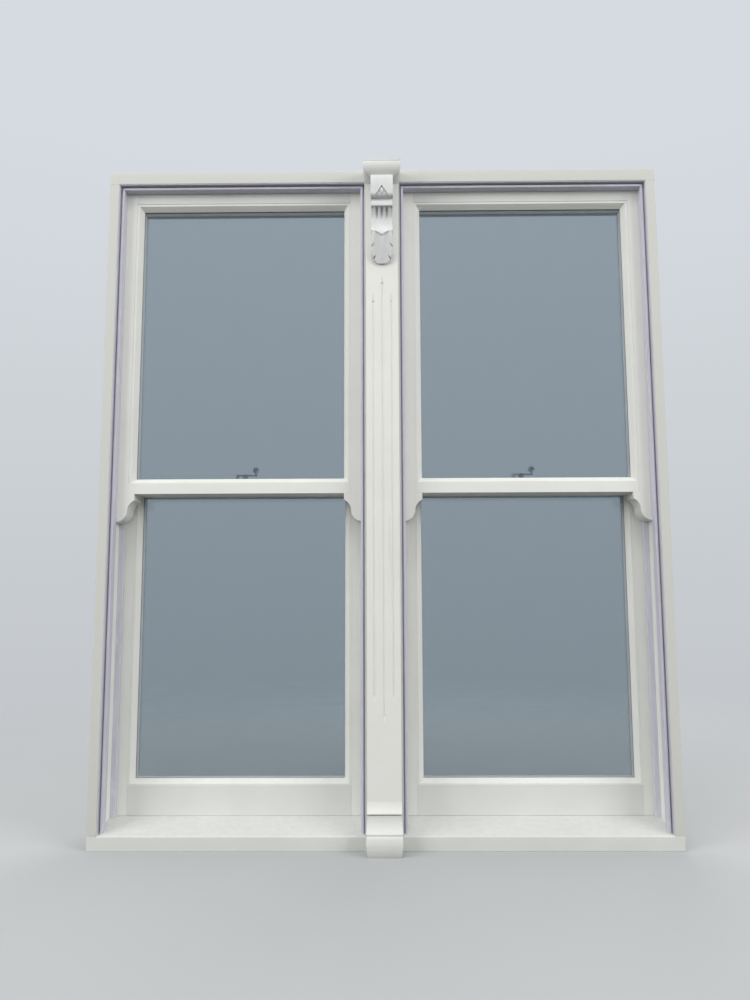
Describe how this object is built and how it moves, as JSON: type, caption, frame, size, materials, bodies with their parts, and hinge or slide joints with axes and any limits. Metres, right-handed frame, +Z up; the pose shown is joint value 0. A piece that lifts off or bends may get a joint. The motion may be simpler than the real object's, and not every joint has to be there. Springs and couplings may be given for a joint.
{
  "type": "twin sliding sash window",
  "caption": "Painted timber sliding sash window with twin lights, run-through sash horns and a fluted mullion pilaster with a carved corbel.",
  "frame": {"origin": "middle of the sill's underside, half way through the frame's depth", "axes": "+X runs across the window to the right as seen from outside, +Y goes indoors, +Z is up"},
  "size_m": [1.4, 0.2502, 1.68],
  "materials": {
    "painted_timber": "satin cream paint",
    "corbel_paint": "white primer",
    "bead_plastic": "satin white plastic",
    "glass": "clear float glass",
    "unit_sealant": "dark grey sealant",
    "spacer_plastic": "light grey",
    "balance_plastic": "white tube",
    "balance_steel": "zinc plated",
    "chrome": "polished chrome"
  },
  "bodies": {
    "frame": {"sill": "painted_timber", "head": "painted_timber", "left_jamb": "painted_timber", "right_jamb": "painted_timber", "mullion": "painted_timber", "pilaster": "painted_timber", "pilaster_plinth": "painted_timber", "corbel_cap": "painted_timber", "corbel": "corbel_paint", "balance_tubes": "balance_plastic", "left_outer_beads": "bead_plastic", "left_parting_beads": "bead_plastic", "left_staff_beads": "painted_timber", "right_outer_beads": "bead_plastic", "right_parting_beads": "bead_plastic", "right_staff_beads": "painted_timber"},
    "left_lower_sash": {"left_lower_left_stile": "painted_timber", "left_lower_right_stile": "painted_timber", "left_lower_bottom_rail": "painted_timber", "left_lower_meeting_rail": "painted_timber", "left_lower_glazing_beads": "painted_timber", "left_lower_glass": "glass", "left_lower_sealant": "unit_sealant", "left_lower_spacer": "spacer_plastic", "left_lower_balance_rods": "balance_steel", "left_catch_base": "chrome", "left_sash_lifts": "chrome"},
    "left_upper_sash": {"left_upper_left_stile": "painted_timber", "left_upper_right_stile": "painted_timber", "left_upper_meeting_rail": "painted_timber", "left_upper_top_rail": "painted_timber", "left_upper_glazing_beads": "painted_timber", "left_upper_glass": "glass", "left_upper_sealant": "unit_sealant", "left_upper_spacer": "spacer_plastic", "left_upper_balance_rods": "balance_steel", "left_catch_keep": "chrome"},
    "left_catch_lever": {"left_catch_lever": "chrome"},
    "right_lower_sash": {"right_lower_left_stile": "painted_timber", "right_lower_right_stile": "painted_timber", "right_lower_bottom_rail": "painted_timber", "right_lower_meeting_rail": "painted_timber", "right_lower_glazing_beads": "painted_timber", "right_lower_glass": "glass", "right_lower_sealant": "unit_sealant", "right_lower_spacer": "spacer_plastic", "right_lower_balance_rods": "balance_steel", "right_catch_base": "chrome", "right_sash_lifts": "chrome"},
    "right_upper_sash": {"right_upper_left_stile": "painted_timber", "right_upper_right_stile": "painted_timber", "right_upper_meeting_rail": "painted_timber", "right_upper_top_rail": "painted_timber", "right_upper_glazing_beads": "painted_timber", "right_upper_glass": "glass", "right_upper_sealant": "unit_sealant", "right_upper_spacer": "spacer_plastic", "right_upper_balance_rods": "balance_steel", "right_catch_keep": "chrome"},
    "right_catch_lever": {"right_catch_lever": "chrome"}
  },
  "joints": [
    {"name": "left_lower_slide", "type": "slide", "parent": "frame", "child": "left_lower_sash", "axis": [0, 0, 1], "range_m": [0, 0.7]},
    {"name": "left_upper_slide", "type": "slide", "parent": "frame", "child": "left_upper_sash", "axis": [0, 0, -1], "range_m": [0, 0.7]},
    {"name": "left_catch_turn", "type": "hinge", "parent": "left_lower_sash", "child": "left_catch_lever", "pos_m": [-0.357, 0.0175, 0.9003], "axis": [0, 0, 1], "range_deg": [0, 90]},
    {"name": "right_lower_slide", "type": "slide", "parent": "frame", "child": "right_lower_sash", "axis": [0, 0, 1], "range_m": [0, 0.7]},
    {"name": "right_upper_slide", "type": "slide", "parent": "frame", "child": "right_upper_sash", "axis": [0, 0, -1], "range_m": [0, 0.7]},
    {"name": "right_catch_turn", "type": "hinge", "parent": "right_lower_sash", "child": "right_catch_lever", "pos_m": [0.357, 0.0175, 0.9003], "axis": [0, 0, 1], "range_deg": [0, 90]}
  ]
}
